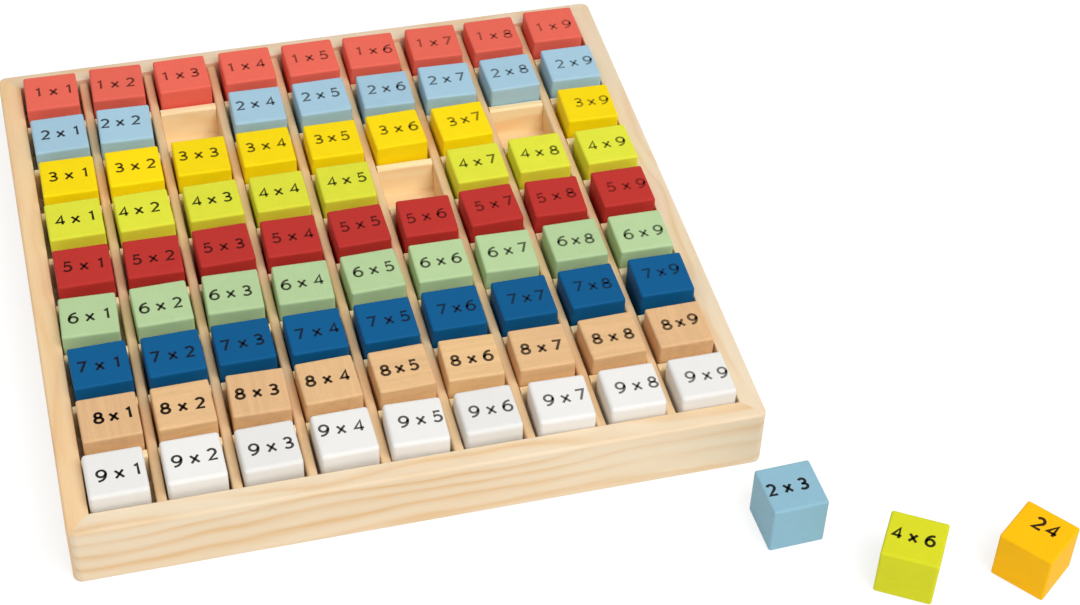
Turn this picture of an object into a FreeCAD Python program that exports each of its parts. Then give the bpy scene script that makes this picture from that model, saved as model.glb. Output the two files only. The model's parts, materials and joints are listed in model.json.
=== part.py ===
"""Multiplication cube board: a mitred tray of nine by nine cells with a painted wooden cube for each cell.

The origin is in the middle of the front rail's underside, on the plane that the tray stands on. +X is to
the right along a row of the table, +Y is away from the reader, and +Z is up. Row 1 is at the back and
column 1 at the left. The pieces are made about the middle of the tray and moved to the origin when saved.
"""
import FreeCAD, Part
import math
import os

# Table of cells
CELLS = 9                     # rows and columns
CUBE = 25.0                   # edge of a cube
CUBE_EASE = 0.8               # flat that breaks a cube's edges
CELL_SLACK = 1.9              # how much wider than its cube a cell is
EDGE_EXTRA = 0.8              # how much wider still the cells beside the rails are

# Egg-crate strips
STRIP_THICK = 4.3
STRIP_TOP_ROUND = 1.3         # rounding of a strip's two top arrises
LAP_CLEARANCE = 0.3           # how much wider than a strip the slot that holds it is
STRIP_END_GAP = 0.2           # between a strip's end and the rail

# Frame and floor
RAIL_WIDTH = 10.0
RAIL_HEIGHT = 30.4
RAIL_ABOVE_STRIPS = 2.0       # how far the strips lie below the rails' tops
CUBE_ABOVE_RAILS = 7.1        # how far the cubes stand out of the tray
CORNER_RADIUS = 4.0           # the tray's four upright outer corners, in plan
TOP_ROUND = 1.5               # outer arris of the rails' tops
INNER_ROUND = 0.6             # inner arris of the rails' tops
FOOT_ROUND = 0.8              # outer arris of the rails' undersides
PANEL_THICK = 3.0
GROOVE_DEPTH = 4.0            # groove in the rails that takes the panel
GROOVE_CLEARANCE = 0.15       # above the panel, and at its edges

# How the cubes lie
SHIFT_SHARE = 0.9             # share of the slack beside a cube that its shift may use
TURN_DEGREES = 1.9            # largest turn of a cube in its cell
LEAN_RIGHT = 1.4              # how strongly the cubes gather at the right of their cells, 1 being not at all
LEAN_FRONT = 1.9              # the same towards the front
TAKEN_OUT = {(2, 3): "loose_cube_2x3", (3, 8): "loose_cube_3x8", (4, 6): "loose_cube_4x6"}
# How far each loose cube's middle lies to the right of and behind the tray's front right corner, in cube
# edges, and how many degrees the cube is turned
LOOSE_PLACES = {
    (2, 3): (-0.05, -1.47, 2.0),
    (3, 8): (3.69, -3.37, -52.0),
    (4, 6): (1.59, -3.03, -32.0),
}
NEAR = 1e-4                   # lengths closer than this are taken as the same

# Worked out from the above
CELL = CUBE + CELL_SLACK
PITCH = CELL + STRIP_THICK
INSIDE = CELLS * CELL + (CELLS - 1) * STRIP_THICK + 2 * EDGE_EXTRA
SIDE = INSIDE + 2 * RAIL_WIDTH
FLOOR = RAIL_HEIGHT + CUBE_ABOVE_RAILS - CUBE
STRIP_HEIGHT = RAIL_HEIGHT - RAIL_ABOVE_STRIPS - FLOOR
STRIP_LENGTH = INSIDE - 2 * STRIP_END_GAP
TRAY_MIDDLE = FreeCAD.Vector(0, (SIDE - RAIL_WIDTH) / 2, 0)


def upright(edge):
    """Whether an edge runs straight up."""
    box = edge.BoundBox
    return box.XLength < NEAR and box.YLength < NEAR


def level_edges(shape, height):
    """The edges that lie level at that height."""
    return [edge for edge in shape.Edges
            if abs(edge.BoundBox.ZMin - height) < NEAR and abs(edge.BoundBox.ZMax - height) < NEAR]


def reach(edge):
    """How far an edge gets from the Z axis, along X or Y."""
    box = edge.BoundBox
    return max(-box.XMin, box.XMax, -box.YMin, box.YMax)


def centred_box(length, depth, height, base):
    """A box with its middle on the Z axis and its underside at the height base."""
    return Part.makeBox(length, depth, height, FreeCAD.Vector(-length / 2, -depth / 2, base))


def frame_ring():
    """The whole frame before it is cut at the mitres, with its rounded arrises and its groove."""
    block = centred_box(SIDE, SIDE, RAIL_HEIGHT, 0)
    block = block.makeFillet(CORNER_RADIUS, [edge for edge in block.Edges if upright(edge)])
    block = block.makeFillet(TOP_ROUND, level_edges(block, RAIL_HEIGHT))
    block = block.makeFillet(FOOT_ROUND, level_edges(block, 0))
    ring = block.cut(centred_box(INSIDE, INSIDE, RAIL_HEIGHT, 0))
    inner_top = [edge for edge in level_edges(ring, RAIL_HEIGHT) if reach(edge) < INSIDE / 2 + NEAR]
    ring = ring.makeFillet(INNER_ROUND, inner_top)
    groove_side = INSIDE + 2 * GROOVE_DEPTH
    groove_height = PANEL_THICK + GROOVE_CLEARANCE
    return ring.cut(centred_box(groove_side, groove_side, groove_height, FLOOR - PANEL_THICK))


def mitred_rail(ring, quarter_turns):
    """One side of the frame: what lies in the wedge between two diagonals, counted from the front."""
    wedge = Part.makePolygon([
        FreeCAD.Vector(0, 0, 0),
        FreeCAD.Vector(-SIDE, -SIDE, 0),
        FreeCAD.Vector(SIDE, -SIDE, 0),
        FreeCAD.Vector(0, 0, 0),
    ])
    wedge = Part.Face(wedge).extrude(FreeCAD.Vector(0, 0, RAIL_HEIGHT))
    wedge.rotate(FreeCAD.Vector(0, 0, 0), FreeCAD.Vector(0, 0, 1), 90 * quarter_turns)
    return ring.common(wedge)


def floor_panel():
    """The thin board under the cells, let into the rails' groove."""
    side = INSIDE + 2 * (GROOVE_DEPTH - GROOVE_CLEARANCE)
    return centred_box(side, side, PANEL_THICK, FLOOR - PANEL_THICK)


def strip_blank():
    """A strip along X without its slots: a slat with a rounded top, standing on the floor."""
    half = STRIP_THICK / 2
    top = FLOOR + STRIP_HEIGHT
    shoulder = top - STRIP_TOP_ROUND
    flat = half - STRIP_TOP_ROUND
    bow = STRIP_TOP_ROUND * math.sqrt(0.5)
    start = -STRIP_LENGTH / 2

    def point(y, z):
        return FreeCAD.Vector(start, y, z)

    outline = Part.Wire([
        Part.makeLine(point(-half, FLOOR), point(half, FLOOR)),
        Part.makeLine(point(half, FLOOR), point(half, shoulder)),
        Part.Arc(point(half, shoulder), point(flat + bow, shoulder + bow), point(flat, top)).toShape(),
        Part.makeLine(point(flat, top), point(-flat, top)),
        Part.Arc(point(-flat, top), point(-flat - bow, shoulder + bow), point(-half, shoulder)).toShape(),
        Part.makeLine(point(-half, shoulder), point(-half, FLOOR)),
    ])
    return Part.Face(outline).extrude(FreeCAD.Vector(STRIP_LENGTH, 0, 0))


def wall_place(number):
    """Distance from the middle of the tray to the middle of strip 1 to 8."""
    return (number - CELLS / 2) * PITCH


def slots(base, height):
    """The boxes that cut a strip along X at each of the strips that cross it."""
    width = STRIP_THICK + LAP_CLEARANCE
    cutters = []
    for number in range(1, CELLS):
        corner = FreeCAD.Vector(wall_place(number) - width / 2, -STRIP_THICK, base)
        cutters.append(Part.makeBox(width, 2 * STRIP_THICK, height, corner))
    return cutters


def cross_strip(number):
    """A strip from side to side, slotted from above. Strip 1 lies between rows 1 and 2."""
    half = STRIP_HEIGHT / 2
    strip = strip_blank().cut(slots(FLOOR + half, STRIP_HEIGHT))
    strip.translate(FreeCAD.Vector(0, -wall_place(number), 0))
    return strip


def column_strip(number):
    """A strip from front to back, slotted from below. Strip 1 lies between columns 1 and 2."""
    half = STRIP_HEIGHT / 2
    strip = strip_blank().cut(slots(FLOOR - half, STRIP_HEIGHT))
    strip.rotate(FreeCAD.Vector(0, 0, 0), FreeCAD.Vector(0, 0, 1), 90)
    strip.translate(FreeCAD.Vector(wall_place(number), 0, 0))
    return strip


def cube_blank():
    """A cube with its edges broken, standing on the XY plane with its middle on the Z axis."""
    cube = centred_box(CUBE, CUBE, CUBE, 0)
    return cube.makeChamfer(CUBE_EASE, cube.Edges)


def wander(row, column, seed):
    """A number from -1 to 1 that looks random and is the same each time for one cell."""
    wave = math.sin(row * 12.9898 + column * 78.233 + seed * 37.719) * 43758.5453
    return 2 * (wave - math.floor(wave)) - 1


def place_along(number, chance, lean, swing):
    """How far from the middle of the tray a cube lies along a row or a column, in one of cells 1 to 9.

    Chance, from -1 to 1, pushes it off its cell's middle. Swing is the room that the cube's turn takes up.
    """
    off_middle = number - (CELLS + 1) / 2
    extra = EDGE_EXTRA if number in (1, CELLS) else 0
    cell_middle = off_middle * PITCH + math.copysign(extra / 2, off_middle)
    room = ((CELL_SLACK + extra) / 2 - swing) * SHIFT_SHARE
    return cell_middle + room * (1 - 2 * ((1 - chance) / 2) ** lean)


def place_in_cell(row, column):
    """Where a cube stands in its cell, pushed and turned a little as by hand."""
    turn = TURN_DEGREES * wander(row, column, 3)
    swing = CUBE / 2 * math.sin(math.radians(abs(turn)))
    x = place_along(column, wander(row, column, 1), LEAN_RIGHT, swing)
    y = -place_along(row, wander(row, column, 2), LEAN_FRONT, swing)
    return x, y, turn


def placed_cube(x, y, height, turn):
    """A cube on the surface at that height, turned about its upright axis."""
    cube = cube_blank()
    cube.rotate(FreeCAD.Vector(0, 0, 0), FreeCAD.Vector(0, 0, 1), turn)
    cube.translate(FreeCAD.Vector(x, y, height))
    return cube


def row_of_cubes(row):
    """The cubes of one row of the table that are in their cells."""
    cubes = []
    for column in range(1, CELLS + 1):
        if (row, column) in TAKEN_OUT:
            continue
        x, y, turn = place_in_cell(row, column)
        cubes.append(placed_cube(x, y, FLOOR, turn))
    return Part.makeCompound(cubes)


def save(shape, node):
    """Move one node's shape from the middle of the tray to the origin and write it."""
    shape.translate(TRAY_MIDDLE)
    shape.exportStep("parts/" + node + ".step")


def main():
    """Build each node and write it."""
    os.makedirs("parts", exist_ok=True)
    ring = frame_ring()
    for quarter_turns, name in enumerate(["rail_front", "rail_right", "rail_back", "rail_left"]):
        save(mitred_rail(ring, quarter_turns), name)
    save(floor_panel(), "floor_panel")
    for number in range(1, CELLS):
        save(column_strip(number), "column_strip_%d" % number)
        save(cross_strip(number), "cross_strip_%d" % number)
    for row in range(1, CELLS + 1):
        save(row_of_cubes(row), "cubes_row_%d" % row)
    for cell, name in TAKEN_OUT.items():
        right, behind, turn = LOOSE_PLACES[cell]
        x = SIDE / 2 + right * CUBE
        y = -SIDE / 2 + behind * CUBE
        save(placed_cube(x, y, 0, turn), name)


main()
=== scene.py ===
"""Multiplication cube board: its looks in Blender, laid out as an add-on and run as a script.

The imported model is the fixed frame. Its rails, strips and floor panel keep their meshes and get wood
finishes. Softly rounded cubes stand in for the model's chamfered ones, each where the model has it, and
carry the figures of the table: the question on one face and its answer on the opposite one.
"""
import json
import math
import random

import bmesh
import bpy
from bpy.props import (
    FloatProperty,
    FloatVectorProperty,
    PointerProperty,
)
from mathutils import Euler, Matrix, Vector

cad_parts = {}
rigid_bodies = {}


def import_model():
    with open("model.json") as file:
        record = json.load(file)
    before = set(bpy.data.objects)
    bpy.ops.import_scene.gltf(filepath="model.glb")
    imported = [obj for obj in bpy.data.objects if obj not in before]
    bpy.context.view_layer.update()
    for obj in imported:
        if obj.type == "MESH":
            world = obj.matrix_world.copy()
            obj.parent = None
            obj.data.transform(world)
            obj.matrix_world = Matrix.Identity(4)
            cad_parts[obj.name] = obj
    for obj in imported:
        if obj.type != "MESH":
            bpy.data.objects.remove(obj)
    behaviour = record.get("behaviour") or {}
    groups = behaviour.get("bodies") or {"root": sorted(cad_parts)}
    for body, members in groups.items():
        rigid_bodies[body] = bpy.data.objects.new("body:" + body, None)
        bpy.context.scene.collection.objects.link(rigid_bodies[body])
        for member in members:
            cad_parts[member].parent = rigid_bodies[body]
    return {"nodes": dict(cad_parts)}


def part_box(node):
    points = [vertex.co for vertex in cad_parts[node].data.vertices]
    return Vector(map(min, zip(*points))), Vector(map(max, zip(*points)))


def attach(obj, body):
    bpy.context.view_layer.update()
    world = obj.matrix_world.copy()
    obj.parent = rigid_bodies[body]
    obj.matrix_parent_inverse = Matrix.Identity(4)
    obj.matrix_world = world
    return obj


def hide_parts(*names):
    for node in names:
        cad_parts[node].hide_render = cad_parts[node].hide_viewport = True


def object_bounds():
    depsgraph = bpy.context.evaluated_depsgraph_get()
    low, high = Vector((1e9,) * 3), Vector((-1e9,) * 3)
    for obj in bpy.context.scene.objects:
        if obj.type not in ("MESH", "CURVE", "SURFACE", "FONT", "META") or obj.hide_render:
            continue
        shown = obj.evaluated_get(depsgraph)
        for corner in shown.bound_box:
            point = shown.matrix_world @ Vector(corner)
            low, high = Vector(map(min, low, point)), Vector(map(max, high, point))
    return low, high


bl_info = {
    "name": "Multiplication Cube Board",
    "version": (1, 0, 0),
    "blender": (4, 5, 0),
    "location": "3D View > Sidebar > Cube Board",
    "description": "Wood, paint and figures of a multiplication board with a cube for each product",
    "category": "Object",
}

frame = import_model()
FRAME_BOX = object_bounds()

MM = 0.001
CELLS = 9                     # rows and columns
NEAR = 1e-6                   # points closer than this are one
TOP_BAND = 1e-5               # points no further than this below a cube's top are on it
WHITE = (1, 1, 1, 1)

# Seeds of what differs from piece to piece
STRIP_SEED = 12
ROW_SEED = 100                # times the row, to which the column is added
LOOSE_SEED = 50               # added for a loose cube

# Wood
WANDER = 4.5                  # how many rings wide a trunk sways along a board
PANEL_RING = 9.0              # spacing of the floor panel's rings, in mm

# The floor as the camera sees it
FLOOR_GREY = 0.3              # what the light falls on
FLOOR_GLOW = 0.76             # what it gives off by itself

# Lines across a side of the grid that a rounded cube is made from, and how far out two of them lie, as
# shares of the way from the side's middle to its edge
SIDE_LINES = 10
INNER_LINE = 1 / 9            # the line just inside the flat
FLAT_EDGE = 3 / 9             # the line on the flat's edge
INNER_STEP = 0.0004           # between the two, in metres

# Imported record's finish for the cubes of each row of the table
ROW_SLOTS = {
    1: "coral_paint",
    2: "light_blue_paint",
    3: "yellow_paint",
    4: "lime_paint",
    5: "dark_red_paint",
    6: "pale_green_paint",
    7: "deep_blue_paint",
    8: "bare_beech",
    9: "white_paint",
}
BARE_ROW = 8
WHITE_ROW = 9
# How much of each row's paint shows through its ink, in the first column and in the last one
INK_SHOWS = {
    1: (0.18, 0.46),
    2: (0.08, 0.34),
    3: (0.06, 0.36),
    4: (0.02, 0.26),
    5: (0.1, 0.4),
    6: (0.05, 0.23),
    7: (0.05, 0.33),
    8: (0.0, 0.16),
    9: (0.03, 0.22),
}
LOOSE_INK_SHOWS = 0.03

# The loose cubes: row, column, quarter turns from the cube's mesh to its reading direction, and whether the
# answer is on top
LOOSE_CUBES = {
    "loose_cube_2x3": (2, 3, 0, False),
    "loose_cube_3x8": (3, 8, -1, True),
    "loose_cube_4x6": (4, 6, 0, False),
}

# How each question is set off its cube's middle: mm to the right, mm away from the reader and degrees of
# tilt
QUESTION_SHIFTS = {
    1: ((1, 0, 0), (-1, -1, -1), (-1, -0.5, 0), (-1, -0.5, 1), (-0.5, 0, 0), (1, -0.5, -3), (0, -0.5, -2),
        (0, -1, -4), (0, -1.5, 1)),
    2: ((0.5, 0, 0), (-2, 1.5, 0), (-2, 0, 0), (-1, 1, 2), (-0.5, 1, 1), (0.5, 0.5, 0), (0, 1, 1),
        (0, 0.5, 0), (1.5, 0, 1)),
    3: ((0.5, 0.5, 0), (0.5, 0, 0), (-1, 1, -1), (0, 0.5, 1), (-0.5, 1, 0), (1, 0, -2), (1.5, 0.5, 4),
        (0, 0, 0), (2, 0.5, -1)),
    4: ((0.5, 0, 0), (-2, 0.5, 0), (-0.5, 0.5, 0), (-0.5, 0, 0), (0.5, 1, 1), (-1, 0.5, 0), (0, 0.5, 0),
        (0, 0, -3), (0, 0, 0)),
    5: ((0.5, 0, -3), (0, -1, 0), (0, -1, -2), (0.5, -0.5, 0), (0.5, 0.5, 2), (-0.5, -0.5, 3),
        (1.5, 0, 1), (0, 0, 4), (1.5, 0, -2)),
    6: ((0.5, -1, 1), (-0.5, -1.5, 1), (-1, -1, 0), (-0.5, -0.5, 2), (0.5, 0.5, 1), (0, -0.5, 0),
        (0.5, 0, 2), (0, -0.5, -4), (1, -1.5, 1)),
    7: ((0, -0.5, -2), (-0.5, -1, -1), (-0.5, -1, 2), (0.5, -0.5, 2), (1, 0, 1), (1, -0.5, -1),
        (1, -0.5, -2), (0.5, 0, -4), (0.5, 1.5, 3)),
    8: ((2, 0, 1), (-0.5, -1, -1), (-0.5, 0, -1), (-0.5, 0.5, -1), (-1, 0, 1), (0, -1, 1), (0, -0.5, -2),
        (0, -1, -1), (0.5, 1, 4)),
    9: ((1.5, -1, 1), (0.5, -0.5, 2), (1, -1, 1), (-1, 2, -3), (2, 0.5, 1), (1, -0.5, 0), (1.5, 0, 2),
        (2, 0, 1), (2, -0.5, -2)),
}
# Questions whose figures stand closer together
CLOSE_SET = {(3, 5), (3, 7), (3, 9), (6, 8), (7, 6), (7, 7), (7, 8), (7, 9), (8, 1), (8, 5), (8, 9)}
ANSWER_SHIFT = (0.5, 3.5, 0)


def linear(colour):
    """An sRGB colour written as #rrggbb, in linear light."""
    parts = [int(colour[place:place + 2], 16) / 255 for place in (1, 3, 5)]
    return tuple(part / 12.92 if part <= 0.04045 else ((part + 0.055) / 1.055) ** 2.4 for part in parts)


def colour_setting(name, description, colour):
    """A colour that a user can change."""
    return FloatVectorProperty(name=name, description=description, subtype="COLOR", size=3, min=0, max=1,
                               default=linear(colour))


def length_setting(name, description, millimetres):
    """A length that a user can change."""
    return FloatProperty(name=name, description=description, subtype="DISTANCE", unit="LENGTH", min=0,
                         default=millimetres * MM)


class CubeBoardCubes(bpy.types.PropertyGroup):
    """Sizes and colours of the cubes."""

    painted_rounding: length_setting("Painted rounding", "Rounding of a cube's edges", 1.1)
    white_rounding: length_setting("White rounding", "Rounding of the white cubes' edges", 1.7)
    row_1: colour_setting("Row 1", "Paint of the first row", "#ee6a58")
    row_2: colour_setting("Row 2", "Paint of the second row", "#a8ccdf")
    row_3: colour_setting("Row 3", "Paint of the third row", "#ffdf08")
    row_4: colour_setting("Row 4", "Paint of the fourth row", "#e2e53d")
    row_5: colour_setting("Row 5", "Paint of the fifth row", "#be332d")
    row_6: colour_setting("Row 6", "Paint of the sixth row", "#b8d39e")
    row_7: colour_setting("Row 7", "Paint of the seventh row", "#065a8e")
    row_8: colour_setting("Row 8", "Bare beech of the eighth row", "#e6bb88")
    row_9: colour_setting("Row 9", "Paint of the ninth row", "#edebe7")
    # The loose cubes carry the paints of rows 2, 3 and 4. Their own colours are painted light and shade,
    # darker, warmer or duller than their rows' paints because the light falls otherwise on them, not other
    # batches of paint.
    loose_cube_2x3: colour_setting("Loose 2 x 3", "Paint of the blue cube, a darker batch", "#90bbce")
    loose_cube_3x8: colour_setting("Loose 3 x 8", "Paint of the yellow cube, a warmer batch", "#ffbf04")
    loose_cube_4x6: colour_setting("Loose 4 x 6", "Paint of the lime cube, a duller batch", "#d2d324")


class CubeBoardFigures(bpy.types.PropertyGroup):
    """Sizes and colour of the printed figures."""

    height: length_setting("Height", "Height of a question's figures", 6.9)
    answer_height: length_setting("Answer height", "Height of an answer's figures", 7.75)
    stroke: length_setting("Stroke", "Width of a figure's stroke", 1.1)
    bold_stroke: length_setting("Bold stroke", "The same on the beech and the loose cubes", 1.27)
    advance: length_setting("Advance", "From the middle of one figure to the next", 7.2)
    close_advance: length_setting("Close advance", "The same where the figures stand close", 6.3)
    answer_advance: length_setting("Answer advance", "The same in an answer", 6.3)
    ink_thickness: length_setting("Ink thickness", "How far the ink stands on the paint", 0.05)
    ink: colour_setting("Ink", "Colour of the figures", "#17110e")


class CubeBoardWood(bpy.types.PropertyGroup):
    """Colours and grain of the tray's wood."""

    rail_pale: colour_setting("Rail pale", "Early wood of the rails", "#ecdabd")
    rail_tan: colour_setting("Rail tan", "Late wood of the rails", "#e1b985")
    left_pale: colour_setting("Left rail pale", "Early wood of the left rail, a warmer board", "#f5d4a5")
    left_tan: colour_setting("Left rail tan", "Late wood of the left rail", "#e5b27a")
    strip_pale: colour_setting("Strip pale", "Early wood of the strips from front to back", "#eecfa3")
    strip_tan: colour_setting("Strip tan", "Late wood of the strips from front to back", "#ddad77")
    # The strips from side to side are the same pine as those from front to back; their paler colours are
    # painted light, for their faces towards the front in the open cells.
    lit_cross_pale: colour_setting("Cross strip pale", "Early wood of the strips from side to side", "#ffecc0")
    lit_cross_tan: colour_setting("Cross strip tan", "Late wood of the strips from side to side", "#f9d299")
    panel: colour_setting("Panel", "Face veneer of the floor panel", "#f8dcad")
    ring: length_setting("Ring", "Spacing of the rails' growth rings", 9.0)
    strip_ring: length_setting("Strip ring", "Spacing of the strips' growth rings", 5.0)


class CubeBoardStage(bpy.types.PropertyGroup):
    """Floor, light and camera."""

    floor: colour_setting("Floor", "Colour of the floor", "#f2f2f2")
    sky: FloatProperty(name="Sky", description="Strength of the light from all round", min=0, default=0.49)
    key: FloatProperty(name="Key", description="Power of the main lamp", unit="POWER", min=0, default=31.2)
    fill: FloatProperty(name="Fill", description="Power of the second lamp", unit="POWER", min=0,
                        default=1.6)
    place: FloatVectorProperty(name="Camera", description="Where the camera stands", size=3,
                               subtype="TRANSLATION", unit="LENGTH", default=(-0.1373, -0.6376, 0.7637))
    turn: FloatVectorProperty(name="Camera turn", description="How the camera is turned", subtype="EULER",
                              size=3, unit="ROTATION",
                              default=tuple(math.radians(angle) for angle in (45.297, -2.825, -15.581)))
    lens: FloatProperty(name="Lens", description="Focal length in mm on a 36 mm wide frame", default=77.96)
    shift: FloatVectorProperty(name="Shift", description="Camera shift, as a share of the frame's width",
                               size=2, default=(-0.0617, 0.0141))


# Nodes and materials


def add_node(tree, kind, inputs=None, **settings):
    """Add a node to a tree. An input is set on its socket, or linked to it if it is a socket itself."""
    node = tree.nodes.new(kind)
    for name, value in settings.items():
        setattr(node, name, value)
    for key, value in (inputs or {}).items():
        if isinstance(value, bpy.types.NodeSocket):
            tree.links.new(value, node.inputs[key])
        else:
            node.inputs[key].default_value = value
    return node


def start_material(name):
    """A new node material without nodes, and its tree."""
    material = bpy.data.materials.new(name)
    material.use_nodes = True
    material.node_tree.nodes.clear()
    return material, material.node_tree


def finish_material(tree, inputs):
    """End a material's tree in a Principled BSDF with these inputs."""
    shader = add_node(tree, "ShaderNodeBsdfPrincipled", inputs)
    add_node(tree, "ShaderNodeOutputMaterial", {"Surface": shader.outputs["BSDF"]})


def rgba(colour):
    """A linear colour with an alpha of one."""
    return (colour[0], colour[1], colour[2], 1.0)


def reckon(tree, operation, *values, **settings):
    """A math node on these values and sockets."""
    inputs = dict(enumerate(values))
    return add_node(tree, "ShaderNodeMath", inputs, operation=operation, **settings).outputs[0]


def remap(tree, value, low, high, new_low, new_high):
    """A value brought from one range to another and held at its ends."""
    return add_node(tree, "ShaderNodeMapRange", {
        "Value": value, "From Min": low, "From Max": high, "To Min": new_low, "To Max": new_high,
    }).outputs["Result"]


def stretched_noise(tree, place, scale, detail, roughness, shift=(0, 0, 0)):
    """Noise with its own scale along each axis, taken from a place that is shifted."""
    stretched = add_node(tree, "ShaderNodeMapping", {"Vector": place, "Scale": scale, "Location": shift})
    return add_node(tree, "ShaderNodeTexNoise", {
        "Vector": stretched.outputs["Vector"], "Scale": 1.0, "Detail": detail, "Roughness": roughness,
    }).outputs["Fac"]


def even_noise(tree, place, scale, detail, roughness):
    """Noise of the same scale along all axes."""
    return add_node(tree, "ShaderNodeTexNoise", {
        "Vector": place, "Scale": scale, "Detail": detail, "Roughness": roughness,
    }).outputs["Fac"]


def blend(tree, factor, first, second):
    """A colour between two colours."""
    mixed = add_node(tree, "ShaderNodeMix", {"Factor": factor, "A": first, "B": second}, data_type="RGBA")
    return [socket for socket in mixed.outputs if socket.type == "RGBA"][0]


def shade(tree, colour, value, hue=0.5):
    """A colour made lighter or darker by value, with its hue moved where it isn't 0.5."""
    return add_node(tree, "ShaderNodeHueSaturation", {
        "Hue": hue, "Saturation": 1.0, "Value": value, "Fac": 1.0, "Color": rgba(colour),
    }).outputs["Color"]


def bump(tree, height, strength, distance):
    """The normal of a surface that is uneven by a height."""
    return add_node(tree, "ShaderNodeBump", {
        "Height": height, "Strength": strength, "Distance": distance,
    }).outputs["Normal"]


def seen_directly(tree):
    """1 for rays from the camera, also by way of gloss or glass, and 0 for those that only carry light."""
    path = add_node(tree, "ShaderNodeLightPath").outputs
    seen = reckon(tree, "MAXIMUM", path["Is Camera Ray"], path["Is Glossy Ray"])
    return reckon(tree, "MAXIMUM", seen, path["Is Transmission Ray"])


def place_and_tone(tree):
    """What the rounded cubes carry: each spot's place in the wood and the cube's tone, from -1 to 1."""
    place = add_node(tree, "ShaderNodeAttribute", attribute_name="grain_place").outputs["Vector"]
    return place, add_node(tree, "ShaderNodeAttribute", attribute_name="tone").outputs["Fac"]


def sawn_wood(name, pale, tan, ring, middle, turn, seed, contrast, tilt, wander):
    """Sanded softwood under a clear matt lacquer: soft tan late wood between broad pale early wood, and
    fine fibres along the piece. The rings run round an axis through middle, turned to the piece's length,
    and tilt lets them run out of the surface. Ring is their spacing, and wander is how many of them the
    trunk sways. Lengths are in mm, and angles in degrees."""
    material, tree = start_material(name)
    along = add_node(tree, "ShaderNodeMapping", {
        "Vector": add_node(tree, "ShaderNodeTexCoord").outputs["Object"],
        "Scale": (1 / MM, 1 / MM, 1 / MM),
        "Rotation": (0, math.radians(tilt), math.radians(turn)),
        "Location": tuple(-value for value in middle),
    }).outputs["Vector"]
    # the trunk is not straight: its axis wanders slowly along the piece
    drift = stretched_noise(tree, along, (0.011, 0.035, 0.035), 2.0, 0.45,
                            (seed * 3.7, seed * 1.3, seed * 5.1))
    across = add_node(tree, "ShaderNodeSeparateXYZ", {"Vector": along}).outputs
    radius = reckon(tree, "ADD", reckon(tree, "POWER", across["Y"], 2.0),
                    reckon(tree, "POWER", across["Z"], 2.0))
    radius = reckon(tree, "POWER", radius, 0.5)
    wandering = reckon(tree, "MULTIPLY_ADD", drift, wander * ring, radius)
    year = reckon(tree, "FRACT", reckon(tree, "DIVIDE", wandering, ring))
    # early wood darkens slowly into late wood, which ends at once
    band = add_node(tree, "ShaderNodeValToRGB", {"Fac": year})
    ramp = band.color_ramp
    ramp.interpolation = "B_SPLINE"
    for end, position in enumerate((0.0, 1.0)):
        ramp.elements[end].position = position
        ramp.elements[end].color = (0.4, 0.4, 0.4, 1)
    for position, dark in ((0.12, 0.12), (0.3, 0.0), (0.5, 0.1), (0.7, 0.6), (0.84, 1.0), (0.93, 0.8)):
        ramp.elements.new(position).color = (dark, dark, dark, 1)
    patch = stretched_noise(tree, along, (0.012, 0.07, 0.07), 3.0, 0.5, (seed, seed * 2.9, seed * 0.7))
    fibres = stretched_noise(tree, along, (0.045, 1.9, 1.9), 4.0, 0.6, (seed * 7.0, 0, 0))
    strength = remap(tree, patch, 0.32, 0.66, 0.25 * contrast, contrast)
    amount = reckon(tree, "MULTIPLY", band.outputs["Color"], strength)
    streak = remap(tree, fibres, 0.3, 0.7, -0.13, 0.13)
    amount = reckon(tree, "ADD", amount, streak, use_clamp=True)
    colour = blend(tree, amount, rgba(pale), rgba(tan))
    # large soft patches, a little darker and warmer
    colour = blend(tree, remap(tree, patch, 0.35, 0.7, 0.0, 0.22), colour, rgba(tan))
    finish_material(tree, {
        "Base Color": colour,
        "Roughness": 0.6,
        "IOR": 1.5,
        "Specular IOR Level": 0.3,
        "Normal": bump(tree, fibres, 0.25, 0.00006),
    })
    return material


def cube_paint(name, colour, grain):
    """Satin water-based paint on a sanded beech cube: an even colour that lets a trace of the grain
    through, slightly uneven in sheen. Grain is how much of it shows."""
    material, tree = start_material(name)
    place, tone = place_and_tone(tree)
    pores = stretched_noise(tree, place, (0.16 / MM, 2.2 / MM, 2.2 / MM), 3.0, 0.55)
    cloud = even_noise(tree, place, 0.14 / MM, 2.0, 0.5)
    # cloudy over a few millimetres, streaked along the grain, and not the same on each cube
    value = remap(tree, cloud, 0.3, 0.7, 1 - grain, 1 + grain)
    streak = remap(tree, pores, 0.3, 0.7, 1 - grain, 1 + grain)
    value = reckon(tree, "MULTIPLY", value, streak)
    value = reckon(tree, "MULTIPLY", value, reckon(tree, "MULTIPLY_ADD", tone, 0.04, 1.0))
    finish_material(tree, {
        "Base Color": shade(tree, colour, value),
        "Roughness": remap(tree, cloud, 0.3, 0.7, 0.5, 0.6),
        "IOR": 1.4,
        "Specular IOR Level": 0.15,
        "Normal": bump(tree, pores, 0.2, 0.00005),
    })
    return material


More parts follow.
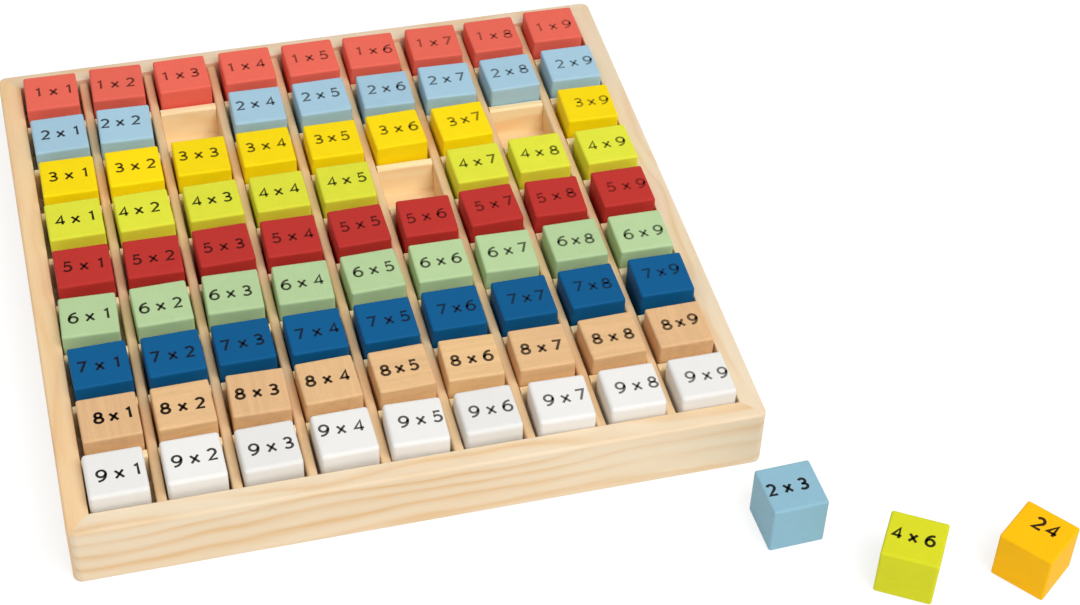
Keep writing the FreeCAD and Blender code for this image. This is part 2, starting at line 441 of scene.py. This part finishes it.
def bare_beech(name, colour):
    """Sanded beech under a thin clear lacquer: a warm even ground with soft growth rings and short dark
    flecks along the grain. The flecks are drawn a little longer than they are, so that they show."""
    material, tree = start_material(name)
    place, tone = place_and_tone(tree)
    rings = stretched_noise(tree, place, (0.02 / MM, 0.32 / MM, 0.32 / MM), 3.0, 0.55)
    flecks = stretched_noise(tree, place, (0.35 / MM, 3.2 / MM, 3.2 / MM), 2.0, 0.5)
    value = remap(tree, rings, 0.3, 0.7, 0.93, 1.06)
    value = reckon(tree, "MULTIPLY", value, remap(tree, flecks, 0.56, 0.74, 1.0, 0.87))
    value = reckon(tree, "MULTIPLY", value, reckon(tree, "MULTIPLY_ADD", tone, 0.06, 1.0))
    finish_material(tree, {
        "Base Color": shade(tree, colour, value, reckon(tree, "MULTIPLY_ADD", tone, 0.004, 0.5)),
        "Roughness": 0.58,
        "IOR": 1.5,
        "Specular IOR Level": 0.3,
        "Normal": bump(tree, flecks, 0.2, 0.00006),
    })
    return material


def printing_ink(name, ink, under):
    """Pad-printed ink: a thin matt black film, slightly mottled. Each figure carries how much of the paint
    under it shows through."""
    material, tree = start_material(name)
    place = add_node(tree, "ShaderNodeTexCoord").outputs["Object"]
    mottle = remap(tree, even_noise(tree, place, 1.6 / MM, 2.0, 0.6), 0.3, 0.7, 0.6, 1.4)
    show = add_node(tree, "ShaderNodeAttribute", attribute_name="show").outputs["Fac"]
    thinness = reckon(tree, "MULTIPLY", show, mottle, use_clamp=True)
    finish_material(tree, {
        "Base Color": blend(tree, thinness, rgba(ink), rgba(under)),
        "Roughness": 0.7,
        "IOR": 1.4,
        "Specular IOR Level": 0.1,
    })
    return material


def pale_floor(name, colour):
    """A plain matt floor. The camera sees it close to white, with the board's shadow kept faint."""
    material, tree = start_material(name)
    plain = add_node(tree, "ShaderNodeBsdfDiffuse", {"Color": rgba(colour)})
    faint = add_node(tree, "ShaderNodeBsdfDiffuse", {"Color": (FLOOR_GREY, FLOOR_GREY, FLOOR_GREY, 1)})
    glow = add_node(tree, "ShaderNodeEmission", {"Color": WHITE, "Strength": FLOOR_GLOW})
    bright = add_node(tree, "ShaderNodeAddShader", {0: faint.outputs[0], 1: glow.outputs[0]})
    mixed = add_node(tree, "ShaderNodeMixShader", {
        0: seen_directly(tree), 1: plain.outputs[0], 2: bright.outputs[0],
    })
    add_node(tree, "ShaderNodeOutputMaterial", {"Surface": mixed.outputs[0]})
    return material


# Geometry node trees


def new_tree(name, inputs):
    """A geometry node tree with these named inputs: tree, input node and the inputs' identifiers."""
    tree = bpy.data.node_groups.new(name, "GeometryNodeTree")
    tree.is_modifier = True
    identifiers = {}
    for label, kind in inputs:
        socket = tree.interface.new_socket(name=label, in_out="INPUT", socket_type=kind)
        identifiers[label] = socket.identifier
    tree.interface.new_socket(name="Geometry", in_out="OUTPUT", socket_type="NodeSocketGeometry")
    return tree, tree.nodes.new("NodeGroupInput"), identifiers


def per_side(tree, operation, first, second=None):
    """A vector math node on one or two vectors."""
    inputs = {0: first} if second is None else {0: first, 1: second}
    return add_node(tree, "ShaderNodeVectorMath", inputs, operation=operation).outputs["Vector"]


def times(tree, vector, factor):
    """A vector times a number."""
    return add_node(tree, "ShaderNodeVectorMath", {0: vector, "Scale": factor},
                    operation="SCALE").outputs["Vector"]


def remap_sides(tree, vector, low, high, new_low, new_high):
    """Each part of a vector brought from one range to another and held at its ends."""
    # sockets 7 to 10 hold the two ranges of a vector
    ranges = {7 + number: (value,) * 3 for number, value in enumerate((low, high, new_low, new_high))}
    return add_node(tree, "ShaderNodeMapRange", {"Vector": vector, **ranges}, data_type="FLOAT_VECTOR",
                    clamp=True).outputs["Vector"]


def carried(tree, name, kind="FLOAT_VECTOR"):
    """What the points carry under a name."""
    return add_node(tree, "GeometryNodeInputNamedAttribute", {"Name": name},
                    data_type=kind).outputs["Attribute"]


def keep_grain_place(tree, mesh, place):
    """Let a mesh carry each spot's place in the wood."""
    return add_node(tree, "GeometryNodeStoreNamedAttribute", {
        "Geometry": mesh, "Name": "grain_place", "Value": place,
    }, data_type="FLOAT_VECTOR", domain="POINT").outputs["Geometry"]


def one_mesh(tree, copies):
    """The copies that stand on points, as a single mesh."""
    return add_node(tree, "GeometryNodeRealizeInstances", {
        "Geometry": copies.outputs["Instances"],
    }).outputs["Geometry"]


def end_tree(tree, mesh, material):
    """End a tree in this mesh and material."""
    covered = add_node(tree, "GeometryNodeSetMaterial", {"Geometry": mesh, "Material": material})
    add_node(tree, "NodeGroupOutput", {"Geometry": covered.outputs["Geometry"]})


def rounded_cubes_tree():
    """A rounded cube on each point, turned by the point's turn. A grid cube's lines are moved to the edges
    of the flats and along the rounding, and each point is pushed onto the rounding from the flats' box."""
    tree, given, identifiers = new_tree("Rounded cubes on places", (
        ("Geometry", "NodeSocketGeometry"),
        ("Edge", "NodeSocketFloat"),
        ("Rounding", "NodeSocketFloat"),
        ("Finish", "NodeSocketMaterial"),
    ))
    rounding = given.outputs["Rounding"]
    grid = add_node(tree, "GeometryNodeMeshCube", {
        "Size": (2, 2, 2), "Vertices X": SIDE_LINES, "Vertices Y": SIDE_LINES, "Vertices Z": SIDE_LINES,
    })
    place = add_node(tree, "GeometryNodeInputPosition").outputs["Position"]
    side = per_side(tree, "SIGN", place)
    share = per_side(tree, "ABSOLUTE", place)
    half = reckon(tree, "MULTIPLY", given.outputs["Edge"], 0.5)
    flat = reckon(tree, "SUBTRACT", half, rounding)
    # the lines from the flat's edge outwards go round the cube's edge in equal angles up to 45 degrees
    angle = remap_sides(tree, share, FLAT_EDGE, 1, 0, math.pi / 4)
    climb = times(tree, per_side(tree, "TANGENT", angle), rounding)
    # the innermost line lies just inside the flat, so that the flat is shaded flat
    inner = remap_sides(tree, share, INNER_LINE, FLAT_EDGE, -INNER_STEP, 0)
    reach = per_side(tree, "ADD", per_side(tree, "ADD", climb, inner), flat)
    spread = per_side(tree, "MULTIPLY", reach, side)
    box = per_side(tree, "MULTIPLY", per_side(tree, "MINIMUM", reach, flat), side)
    outward = per_side(tree, "NORMALIZE", per_side(tree, "SUBTRACT", spread, box))
    rounded = add_node(tree, "GeometryNodeSetPosition", {
        "Geometry": grid.outputs["Mesh"],
        "Position": per_side(tree, "ADD", box, times(tree, outward, rounding)),
    })
    smooth = add_node(tree, "GeometryNodeSetShadeSmooth", {"Geometry": rounded.outputs["Geometry"]})
    cube = keep_grain_place(tree, smooth.outputs["Geometry"],
                            add_node(tree, "GeometryNodeInputPosition").outputs["Position"])
    cubes = one_mesh(tree, add_node(tree, "GeometryNodeInstanceOnPoints", {
        "Points": given.outputs["Geometry"], "Instance": cube, "Rotation": carried(tree, "turn"),
    }))
    # each cube is cut from its own place in the wood, with the grain along one of its sides
    turned = add_node(tree, "ShaderNodeVectorRotate", {
        "Vector": carried(tree, "grain_place"), "Rotation": carried(tree, "grain_turn"),
    }, rotation_type="EULER_XYZ").outputs["Vector"]
    cubes = keep_grain_place(tree, cubes, per_side(tree, "ADD", turned, carried(tree, "grain_shift")))
    end_tree(tree, cubes, given.outputs["Finish"])
    return tree, identifiers


def printed_figures_tree():
    """A figure on each point, picked from the set by the point's figure and turned by its facing."""
    tree, given, identifiers = new_tree("Printed figures", (
        ("Geometry", "NodeSocketGeometry"),
        ("Figures", "NodeSocketCollection"),
        ("Ink", "NodeSocketMaterial"),
    ))
    figures = add_node(tree, "GeometryNodeCollectionInfo", {
        "Collection": given.outputs["Figures"], "Separate Children": True, "Reset Children": True,
    })
    printed = one_mesh(tree, add_node(tree, "GeometryNodeInstanceOnPoints", {
        "Points": given.outputs["Geometry"], "Instance": figures.outputs["Instances"],
        "Pick Instance": True, "Instance Index": carried(tree, "figure", "INT"),
        "Rotation": carried(tree, "facing"), "Scale": carried(tree, "size"),
    }))
    end_tree(tree, printed, given.outputs["Ink"])
    return tree, identifiers


def points_mesh(name, points, attributes):
    """A mesh of bare points with attributes, each a type and a list of values."""
    mesh = bpy.data.meshes.new(name)
    mesh.from_pydata([tuple(point) for point in points], [], [])
    for label, (kind, values) in attributes.items():
        attribute = mesh.attributes.new(label, kind, "POINT")
        for item, value in zip(attribute.data, values):
            if kind == "FLOAT_VECTOR":
                item.vector = value
            else:
                item.value = value
    return mesh


def made_by_tree(name, mesh, tree, inputs):
    """Run a tree on a mesh of points and leave the result as a plain mesh object."""
    piece = bpy.data.objects.new(name, mesh)
    bpy.context.scene.collection.objects.link(piece)
    modifier = piece.modifiers.new("Making", "NODES")
    modifier.node_group = tree
    for identifier, value in inputs.items():
        modifier[identifier] = value
    shown = piece.evaluated_get(bpy.context.evaluated_depsgraph_get())
    made = bpy.data.meshes.new_from_object(shown)
    piece.modifiers.remove(modifier)
    piece.data = made
    made.name = name
    bpy.data.meshes.remove(mesh)
    if not made.polygons:
        raise RuntimeError(name + " came out empty")
    return piece


# Where the frame has things


class CubePlace:
    """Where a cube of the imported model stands: its middle, edge and turn about the upright axis."""

    def __init__(self, points):
        low = Vector(map(min, *points))
        high = Vector(map(max, *points))
        self.middle = (low + high) / 2
        self.edge = high.z - low.z
        top = [point for point in points if point.z > high.z - TOP_BAND]
        run = min((point - top[0] for point in top[1:]), key=lambda step: step.length)
        turn = math.atan2(run.y, run.x)
        quarter = math.pi / 2
        self.turn = turn - quarter * round(turn / quarter)


def cubes_in(node):
    """The places of the cubes in a CAD node, from left to right, read from a merged copy of its mesh."""
    copy = bmesh.new()
    copy.from_mesh(frame["nodes"][node].data)
    bmesh.ops.remove_doubles(copy, verts=copy.verts, dist=NEAR)
    seen = set()
    places = []
    for start in copy.verts:
        if start in seen:
            continue
        seen.add(start)
        points, front = [], [start]
        while front:
            vertex = front.pop()
            points.append(vertex.co.copy())
            for edge in vertex.link_edges:
                other = edge.other_vert(vertex)
                if other not in seen:
                    seen.add(other)
                    front.append(other)
        places.append(CubePlace(points))
    copy.free()
    return sorted(places, key=lambda cube: cube.middle.x)


def column_at(x):
    """The column of the table at a distance to the right, counted past the strips between the columns."""
    column = 1
    for number in range(1, CELLS):
        low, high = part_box("column_strip_%d" % number)
        if x > (low.x + high.x) / 2:
            column += 1
    return column


# Figures


def bow(x, y, across, up, start, end):
    """Points along an ellipse about x, y from one angle to another, in degrees."""
    steps = max(3, round(abs(end - start) / 15))
    angles = [math.radians(start + (end - start) * step / steps) for step in range(steps + 1)]
    return [(x + across * math.cos(angle), y + up * math.sin(angle)) for angle in angles]


# Middle lines of the strokes of 0 to 9 and x, in shares of a figure's height
SIX = bow(0.52, 0.38, 0.52, 0.62, 82, 176) + bow(0.31, 0.315, 0.31, 0.315, 180, 540)
FIGURES = (
    [bow(0.30, 0.50, 0.30, 0.50, 90, 450)],
    [[(0.00, 0.84), (0.22, 1.00), (0.22, 0.00)]],
    [bow(0.28, 0.71, 0.28, 0.29, 152, -42) + [(0.02, 0.00), (0.60, 0.00)]],
    [bow(0.25, 0.755, 0.25, 0.245, 150, -90) + [(0.14, 0.51)],
     [(0.14, 0.51)] + bow(0.25, 0.255, 0.30, 0.255, 90, -148)],
    [[(0.66, 0.27), (0.00, 0.27), (0.47, 1.00), (0.47, 0.00)]],
    [[(0.54, 1.00), (0.12, 1.00), (0.08, 0.56)] + bow(0.25, 0.31, 0.31, 0.31, 123, -148)],
    [SIX],
    [[(0.00, 1.00), (0.60, 1.00), (0.20, 0.00)]],
    [bow(0.30, 0.76, 0.235, 0.24, -90, 270), bow(0.30, 0.26, 0.30, 0.26, 90, 450)],
    [[(0.62 - x, 1 - y) for x, y in SIX]],
    [[(0.00, 0.00), (0.56, 0.72)], [(0.00, 0.72), (0.56, 0.00)]],
)
TIMES_SIGN = 10
BLUNTEST = 0.6                # cosine of half the turn up to which a stroke's corner keeps its point


def stroke_band(shape, path, width, thickness):
    """Add a closed band of a stroke's width and the ink's thickness along a path."""
    points = [Vector(point) for point in path]
    looped = (points[0] - points[-1]).length < NEAR
    if looped:
        points.pop()
    count = len(points)
    rings = []
    for place, point in enumerate(points):
        before = points[place - 1] if place or looped else None
        after = points[(place + 1) % count] if place < count - 1 or looped else None
        steps = [(end - start).normalized() for start, end in ((before, point), (point, after))
                 if start is not None and end is not None]
        run = sum(steps, Vector((0, 0))).normalized()
        # a corner is carried out to its point, but no further than a blunt one
        widening = 1 / max(run.dot(steps[0]), BLUNTEST)
        side = Vector((-run.y, run.x)) * width / 2 * widening
        rings.append([shape.verts.new((*(point + side * across), height))
                      for across, height in ((1, 0), (1, thickness), (-1, thickness), (-1, 0))])
    pairs = list(zip(rings, rings[1:] + rings[:1] if looped else rings[1:]))
    for ring, following in pairs:
        for corner in range(4):
            shape.faces.new((ring[corner], following[corner], following[corner - 3], ring[corner - 3]))
    if not looped:
        shape.faces.new(rings[0])
        shape.faces.new(reversed(rings[-1]))


def figure_set(name, height, stroke, thickness):
    """A collection of the figures as thin solids, each about the middle of its own box."""
    figures = bpy.data.collections.new(name)
    bpy.context.scene.collection.children.link(figures)
    scale = height - stroke
    for number, strokes in enumerate(FIGURES):
        shape = bmesh.new()
        for path in strokes:
            stroke_band(shape, [(x * scale, y * scale) for x, y in path], stroke, thickness)
        bmesh.ops.recalc_face_normals(shape, faces=shape.faces)
        middle = (min(v.co.x for v in shape.verts) + max(v.co.x for v in shape.verts)) / 2
        bmesh.ops.translate(shape, verts=shape.verts, vec=(-middle, -scale / 2, 0))
        mesh = bpy.data.meshes.new("%s_%02d" % (name, number))
        shape.to_mesh(mesh)
        shape.free()
        figures.objects.link(bpy.data.objects.new(mesh.name, mesh))
    return figures


def clear_set(figures):
    """Remove a collection of figures."""
    for item in list(figures.objects):
        mesh = item.data
        bpy.data.objects.remove(item)
        bpy.data.meshes.remove(mesh)
    bpy.data.collections.remove(figures)


class Print:
    """Figures to be printed, as the points and attributes that the tree reads."""

    def __init__(self):
        self.points = []
        self.figures = []
        self.facings = []
        self.sizes = []
        self.shows = []

    def add(self, text, advance, size, shift, cube, reading, upward, edge, show):
        """Set a text on the upper or the lower face of a cube. Show is how much of the paint shows through
        its ink."""
        across, away, tilt = shift
        numbers = [TIMES_SIGN if sign == "x" else int(sign) for sign in text if sign != " "]
        face = Matrix.Rotation(reading, 3, "Z") @ Euler((0 if upward else math.pi, 0, 0)).to_matrix()
        slant = Matrix.Rotation(math.radians(tilt), 3, "Z")
        start = Vector((across * MM, away * MM, edge / 2))
        for place, number in enumerate(numbers):
            along = (place - (len(numbers) - 1) / 2) * advance
            self.points.append(cube.middle + face @ (start + slant @ Vector((along, 0, 0))))
            self.figures.append(number)
            self.facings.append((face @ slant).to_euler())
            self.sizes.append((size, size, 1))
            self.shows.append(show)

    def add_pair(self, row, column, cube, reading, answer_up, advance, show, settings):
        """Set a question on one face of a cube and its answer on the opposite one."""
        edge = cube.edge - 2 * settings.ink_thickness
        self.add("%d x %d" % (row, column), advance, 1, QUESTION_SHIFTS[row][column - 1], cube, reading,
                 not answer_up, edge, show)
        self.add(str(row * column), settings.answer_advance, settings.answer_height / settings.height,
                 ANSWER_SHIFT, cube, reading, answer_up, edge, show)

    def mesh(self, name):
        """The points as a mesh for the tree."""
        return points_mesh(name, self.points, {
            "figure": ("INT", self.figures),
            "facing": ("FLOAT_VECTOR", self.facings),
            "size": ("FLOAT_VECTOR", self.sizes),
            "show": ("FLOAT", self.shows),
        })


def make_cubes(maker, name, node, row, colour_name, scene):
    """Rounded cubes that stand for a node's chamfered ones, kept inside them by the ink's thickness. Maker
    is their tree and its sockets."""
    tree, sockets = maker
    settings = scene.cubeboard_cubes
    places = cubes_in(node)
    turns, tones, grain_turns, grain_shifts = [], [], [], []
    for cube in places:
        seed = row * ROW_SEED + column_at(cube.middle.x) + (LOOSE_SEED if node in LOOSE_CUBES else 0)
        chance = random.Random(seed)
        turns.append((0, 0, cube.turn))
        tones.append(chance.uniform(-1, 1))
        grain_turns.append(chance.choice(((0, 0, 0), (0, 0, math.pi / 2), (math.pi / 2, 0, 0.12))))
        grain_shifts.append([chance.uniform(-0.5, 0.5) for _ in range(3)])
    mesh = points_mesh(name, [cube.middle for cube in places], {
        "turn": ("FLOAT_VECTOR", turns),
        "tone": ("FLOAT", tones),
        "grain_turn": ("FLOAT_VECTOR", grain_turns),
        "grain_shift": ("FLOAT_VECTOR", grain_shifts),
    })
    piece = made_by_tree(name, mesh, tree, {
        sockets["Edge"]: places[0].edge - 2 * scene.cubeboard_figures.ink_thickness,
        sockets["Rounding"]: settings.white_rounding if row == WHITE_ROW else settings.painted_rounding,
        sockets["Finish"]: cube_finish(row, colour_name, settings),
    })
    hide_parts(node)
    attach(piece, "root")


def cube_finish(row, colour_name, settings):
    """The material of a row's cubes or of a loose one, in the colour set under that name."""
    colour = tuple(getattr(settings, colour_name))
    name = "%s_on_%s" % (ROW_SLOTS[row], colour_name)
    if row == BARE_ROW:
        return bare_beech(name, colour)
    return cube_paint(name, colour, 0.008 if row == WHITE_ROW else 0.02)


def print_figures(maker, name, figures, stroke, colour_name, scene):
    """Print figures as one piece that rides with the cubes, on the paint set under that name. Maker is
    their tree and its sockets."""
    tree, sockets = maker
    settings = scene.cubeboard_figures
    chosen = figure_set(name + "_set", settings.height, stroke, settings.ink_thickness)
    paint = tuple(getattr(scene.cubeboard_cubes, colour_name))
    ink = printing_ink("ink_on_" + colour_name, tuple(settings.ink), paint)
    piece = made_by_tree(name, figures.mesh(name), tree, {
        sockets["Figures"]: chosen,
        sockets["Ink"]: ink,
    })
    clear_set(chosen)
    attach(piece, "root")


# Operators


class CUBEBOARD_OT_dress_rails(bpy.types.Operator):
    """Give the four mitred rails their pine, each cut from another board"""

    bl_idname = "cubeboard.dress_rails"
    bl_label = "Dress rails"

    def execute(self, context):
        wood = context.scene.cubeboard_wood
        ring = wood.ring / MM
        common = (tuple(wood.rail_pale), tuple(wood.rail_tan))
        warm = (tuple(wood.left_pale), tuple(wood.left_tan))
        # colours, spacing and middle of the rings in mm, turn to the rail's length, seed, contrast, tilt
        # and wander, the front rail being cut where the rings are close and straight
        boards = {
            "rail_front": (common, 0.62 * ring, (0, 34, -26), 0, 6.4, 1.0, 1.5, 2.2),
            "rail_back": (common, ring, (0, 320, -60), 0, 8.4, 0.6, 0.6, WANDER),
            "rail_left": (warm, ring, (0, 190, -52), 90, 5.3, 0.6, -0.5, WANDER),
            "rail_right": (common, ring, (0, -95, -44), 90, 1.7, 0.7, 0.9, WANDER),
        }
        for node, (colours, spacing, *cut) in boards.items():
            dress(node, sawn_wood("pine_" + node, *colours, spacing, *cut))
        return {"FINISHED"}


class CUBEBOARD_OT_dress_strips(bpy.types.Operator):
    """Give the sixteen strips between the cells their wood"""

    bl_idname = "cubeboard.dress_strips"
    bl_label = "Dress strips"

    def execute(self, context):
        wood = context.scene.cubeboard_wood
        chance = random.Random(STRIP_SEED)
        # the strips from side to side get paler colours as painted light on their faces towards the front
        for family, turn, pale, tan in (("column_strip", 90, wood.strip_pale, wood.strip_tan),
                                        ("cross_strip", 0, wood.lit_cross_pale, wood.lit_cross_tan)):
            for number in range(1, CELLS):
                node = "%s_%d" % (family, number)
                middle = (0, chance.uniform(-60, 60), chance.uniform(-80, -30))
                material = sawn_wood("pine_" + node, tuple(pale), tuple(tan), wood.strip_ring / MM,
                                     middle, turn, chance.uniform(0, 40), chance.uniform(0.5, 1.0),
                                     chance.uniform(-1, 1), WANDER)
                dress(node, material)
        return {"FINISHED"}


class CUBEBOARD_OT_dress_panel(bpy.types.Operator):
    """Give the floor panel its birch face"""

    bl_idname = "cubeboard.dress_panel"
    bl_label = "Dress floor panel"

    def execute(self, context):
        wood = context.scene.cubeboard_wood
        material = sawn_wood("birch_floor_panel", tuple(wood.panel), tuple(wood.strip_tan), PANEL_RING,
                             (0, 40, -160), 0, 6.6, 0.45, 0.4, WANDER)
        dress("floor_panel", material)
        return {"FINISHED"}


class CUBEBOARD_OT_make_rows(bpy.types.Operator):
    """Make the cubes that stand in the cells, row by row"""

    bl_idname = "cubeboard.make_rows"
    bl_label = "Make cubes in cells"

    def execute(self, context):
        maker = rounded_cubes_tree()
        for row in range(1, CELLS + 1):
            make_cubes(maker, "row_%d_cubes" % row, "cubes_row_%d" % row, row, "row_%d" % row,
                       context.scene)
        return {"FINISHED"}


class CUBEBOARD_OT_make_loose(bpy.types.Operator):
    """Make the three cubes that lie beside the tray"""

    bl_idname = "cubeboard.make_loose"
    bl_label = "Make loose cubes"

    def execute(self, context):
        maker = rounded_cubes_tree()
        for node, (row, column, _, _) in LOOSE_CUBES.items():
            make_cubes(maker, "cube_%dx%d" % (row, column), node, row, node, context.scene)
        return {"FINISHED"}


class CUBEBOARD_OT_print_figures(bpy.types.Operator):
    """Print the question on each cube's upper face and the answer on its lower face"""

    bl_idname = "cubeboard.print_figures"
    bl_label = "Print figures"

    def execute(self, context):
        settings = context.scene.cubeboard_figures
        maker = printed_figures_tree()
        for row in range(1, CELLS + 1):
            sheet = Print()
            for cube in cubes_in("cubes_row_%d" % row):
                column = column_at(cube.middle.x)
                advance = settings.close_advance if (row, column) in CLOSE_SET else settings.advance
                first, last = INK_SHOWS[row]
                show = first + (last - first) * (column - 1) / (CELLS - 1)
                sheet.add_pair(row, column, cube, cube.turn, False, advance, show, settings)
            stroke = settings.bold_stroke if row == BARE_ROW else settings.stroke
            print_figures(maker, "row_%d_figures" % row, sheet, stroke, "row_%d" % row, context.scene)
        for node, (row, column, quarters, answer_up) in LOOSE_CUBES.items():
            cube = cubes_in(node)[0]
            sheet = Print()
            sheet.add_pair(row, column, cube, cube.turn + quarters * math.pi / 2, answer_up,
                           settings.advance, LOOSE_INK_SHOWS, settings)
            print_figures(maker, "cube_%dx%d_figures" % (row, column), sheet, settings.bold_stroke, node,
                          context.scene)
        return {"FINISHED"}


class CUBEBOARD_OT_set_stage(bpy.types.Operator):
    """Set out the floor, the soft light and the camera"""

    bl_idname = "cubeboard.set_stage"
    bl_label = "Set stage"

    def execute(self, context):
        settings = context.scene.cubeboard_stage
        scene = context.scene
        shape = bmesh.new()
        half = 3.0
        corners = [shape.verts.new((x, y, 0)) for x, y in
                   ((-half, -half), (half, -half), (half, half), (-half, half))]
        shape.faces.new(corners)
        mesh = bpy.data.meshes.new("floor")
        shape.to_mesh(mesh)
        shape.free()
        floor = bpy.data.objects.new("floor", mesh)
        mesh.materials.append(pale_floor("floor_matt", tuple(settings.floor)))
        scene.collection.objects.link(floor)

        middle = (FRAME_BOX[0] + FRAME_BOX[1]) / 2
        # name, place and side in metres, and power of each square lamp
        for name, place, width, power in (
            ("key", (0.55, -1.02, 1.8), 1.3, settings.key),
            ("fill", (-1.1, -0.3, 1.4), 1.6, settings.fill),
        ):
            lamp = bpy.data.lights.new(name, "AREA")
            lamp.shape = "SQUARE"
            lamp.size = width
            lamp.energy = power
            stand = bpy.data.objects.new(name, lamp)
            stand.location = place
            stand.rotation_euler = (middle - Vector(place)).to_track_quat("-Z", "Y").to_euler()
            scene.collection.objects.link(stand)

        sky = bpy.data.worlds.new("pale_sky")
        sky.use_nodes = True
        tree = sky.node_tree
        tree.nodes.clear()
        light = add_node(tree, "ShaderNodeBackground", {"Color": WHITE, "Strength": settings.sky})
        white = add_node(tree, "ShaderNodeBackground", {"Color": WHITE, "Strength": 1.0})
        mixed = add_node(tree, "ShaderNodeMixShader", {
            0: seen_directly(tree), 1: light.outputs[0], 2: white.outputs[0],
        })
        add_node(tree, "ShaderNodeOutputWorld", {"Surface": mixed.outputs[0]})
        scene.world = sky

        camera = bpy.data.cameras.new("camera")
        camera.sensor_width = 36
        camera.lens = settings.lens
        camera.shift_x, camera.shift_y = settings.shift
        camera.clip_start = 0.01
        camera.clip_end = 20
        stand = bpy.data.objects.new("camera", camera)
        stand.location = settings.place
        stand.rotation_euler = settings.turn
        scene.collection.objects.link(stand)
        scene.camera = stand
        scene.view_settings.view_transform = "Standard"
        return {"FINISHED"}


def dress(node, material):
    """Give a CAD node's object a material."""
    slots = frame["nodes"][node].material_slots
    if not slots:
        raise RuntimeError(node + " has no material slot")
    for slot in slots:
        slot.material = material


class CUBEBOARD_PT_sidebar(bpy.types.Panel):
    """Settings and steps of the cube board"""

    bl_label = "Cube Board"
    bl_idname = "CUBEBOARD_PT_sidebar"
    bl_space_type = "VIEW_3D"
    bl_region_type = "UI"
    bl_category = "Cube Board"

    def draw(self, context):
        layout = self.layout
        scene = context.scene
        for title, group, steps in (
            ("Tray", scene.cubeboard_wood, (CUBEBOARD_OT_dress_rails, CUBEBOARD_OT_dress_strips,
                                            CUBEBOARD_OT_dress_panel)),
            ("Cubes", scene.cubeboard_cubes, (CUBEBOARD_OT_make_rows, CUBEBOARD_OT_make_loose)),
            ("Figures", scene.cubeboard_figures, (CUBEBOARD_OT_print_figures,)),
            ("Stage", scene.cubeboard_stage, (CUBEBOARD_OT_set_stage,)),
        ):
            box = layout.box()
            box.label(text=title)
            for name in group.__annotations__:
                box.prop(group, name)
            for step in steps:
                box.operator(step.bl_idname)


SETTINGS = {
    "cubeboard_cubes": CubeBoardCubes,
    "cubeboard_figures": CubeBoardFigures,
    "cubeboard_wood": CubeBoardWood,
    "cubeboard_stage": CubeBoardStage,
}
CLASSES = (
    *SETTINGS.values(),
    CUBEBOARD_OT_dress_rails,
    CUBEBOARD_OT_dress_strips,
    CUBEBOARD_OT_dress_panel,
    CUBEBOARD_OT_make_rows,
    CUBEBOARD_OT_make_loose,
    CUBEBOARD_OT_print_figures,
    CUBEBOARD_OT_set_stage,
    CUBEBOARD_PT_sidebar,
)


def register():
    """Register the classes and hang the settings on the scene."""
    for item in CLASSES:
        bpy.utils.register_class(item)
    for name, group in SETTINGS.items():
        setattr(bpy.types.Scene, name, PointerProperty(type=group))


def unregister():
    """Undo register."""
    for name in SETTINGS:
        delattr(bpy.types.Scene, name)
    for item in reversed(CLASSES):
        bpy.utils.unregister_class(item)


def main():
    """Make the board from first to last."""
    register()
    bpy.ops.cubeboard.set_stage()
    bpy.ops.cubeboard.dress_rails()
    bpy.ops.cubeboard.dress_strips()
    bpy.ops.cubeboard.dress_panel()
    bpy.ops.cubeboard.make_rows()
    bpy.ops.cubeboard.make_loose()
    bpy.ops.cubeboard.print_figures()


if __name__ == "__main__":
    main()
